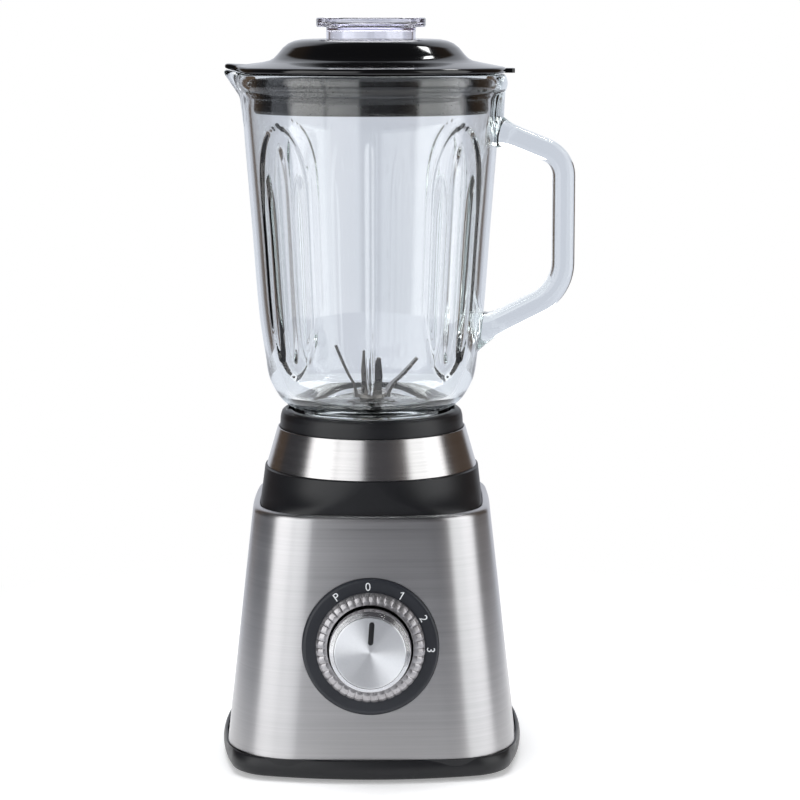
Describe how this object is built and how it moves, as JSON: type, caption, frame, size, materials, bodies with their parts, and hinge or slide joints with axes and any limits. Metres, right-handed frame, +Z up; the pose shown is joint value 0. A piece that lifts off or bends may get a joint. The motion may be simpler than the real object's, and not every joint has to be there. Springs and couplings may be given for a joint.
{
  "type": "countertop blender",
  "caption": "Blender: tapered steel motor base with rotary dial, glass jug with handle and spout, lift-off lid with clear measuring cap, blades driven through a lobed coupling.",
  "frame": {"origin": "where the motor and blade axis meets the worktop, at the level of the feet's undersides", "axes": "+Z up along the motor and blade axis, -Y the side with the dial, +X the jug's handle, -X its spout"},
  "size_m": [0.1892, 0.178, 0.3933],
  "materials": {
    "black_plastic": "satin moulded",
    "housing_plastic": "plain moulded",
    "rubber": "matt",
    "gasket_black": "smooth",
    "silicone": "matt",
    "zinc_steel": "zinc plated",
    "bearing_steel": "ground",
    "brushed_steel": "brushed",
    "blade_steel": "stamped and ground",
    "blade_base": "satin",
    "chrome": "polished",
    "spun_aluminium": "radially spun",
    "silver_plastic": "satin translucent",
    "dial_grey": "satin",
    "lamination": "laminated",
    "copper": "enamelled copper",
    "brass": "plain",
    "carbon": "matt",
    "capacitor_yellow": "plain",
    "fan_plastic": "plain moulded",
    "glass": "clear, faint green",
    "clear_plastic": "clear",
    "black_gloss": "high gloss"
  },
  "bodies": {
    "base": {"base_cover": "black_plastic", "rubber_feet": "rubber", "cover_screws": "zinc_steel", "steel_shell": "brushed_steel", "inner_housing": "housing_plastic", "upper_housing": "black_plastic", "mid_trim": "black_plastic", "collar_band": "brushed_steel", "seat_ring": "black_plastic", "cord_inlet": "rubber", "dial_bezel": "dial_grey", "fluted_dial_ring": "silver_plastic", "rotary_switch": "black_plastic", "switch_nut": "zinc_steel", "stator_core": "lamination", "field_coils": "copper", "upper_bracket": "zinc_steel", "lower_bracket": "zinc_steel", "upper_bearing": "bearing_steel", "lower_bearing": "bearing_steel", "stator_bolts": "zinc_steel", "rubber_mounts": "rubber", "motor_screws": "zinc_steel", "brush_holders": "brass", "carbon_brushes": "carbon", "brush_springs": "zinc_steel", "shaft_seal": "rubber", "terminal_block": "housing_plastic", "suppression_capacitor": "capacitor_yellow"},
    "knob": {"switch_spindle": "zinc_steel", "knob_body": "chrome", "knob_face": "spun_aluminium", "knob_pointer": "black_plastic"},
    "rotor": {"motor_shaft": "bearing_steel", "armature_core": "lamination", "armature_windings": "copper", "commutator": "copper", "cooling_fan": "fan_plastic", "drive_coupling": "black_plastic"},
    "jug": {"glass_jug": "glass", "blade_carrier": "blade_base", "jug_gasket": "silicone", "locking_collar": "black_plastic", "shaft_bush": "brass", "blade_seal": "rubber"},
    "blades": {"blade_shaft": "blade_steel", "driven_coupling": "black_plastic", "blade_washers": "blade_steel", "lower_blade": "blade_steel", "upper_blade": "blade_steel", "blade_nut": "blade_steel"},
    "lid": {"lid_cover": "black_gloss", "lid_gasket": "gasket_black"},
    "cap": {"measuring_cap": "clear_plastic"}
  },
  "joints": [
    {"name": "dial_turn", "type": "hinge", "parent": "base", "child": "knob", "pos_m": [0, -0.0708, 0.071], "axis": [0, 0.9936, -0.1129], "range_deg": [-32, 94]},
    {"name": "motor_spin", "type": "hinge", "parent": "base", "child": "rotor", "pos_m": [0, 0, 0.1], "axis": [0, 0, 1], "continuous": true},
    {"name": "jug_lift", "type": "slide", "parent": "base", "child": "jug", "axis": [0, 0, 1], "range_m": [0, 0.08]},
    {"name": "blade_spin", "type": "hinge", "parent": "jug", "child": "blades", "pos_m": [0, 0, 0.175], "axis": [0, 0, 1], "continuous": true},
    {"name": "lid_lift", "type": "slide", "parent": "jug", "child": "lid", "axis": [0, 0, 1], "range_m": [0, 0.06]},
    {"name": "cap_lift", "type": "slide", "parent": "lid", "child": "cap", "axis": [0, 0, 1], "range_m": [0, 0.05]}
  ],
  "couplings": [
    {"joint": "blade_spin", "follows": "motor_spin", "ratio": 1}
  ]
}
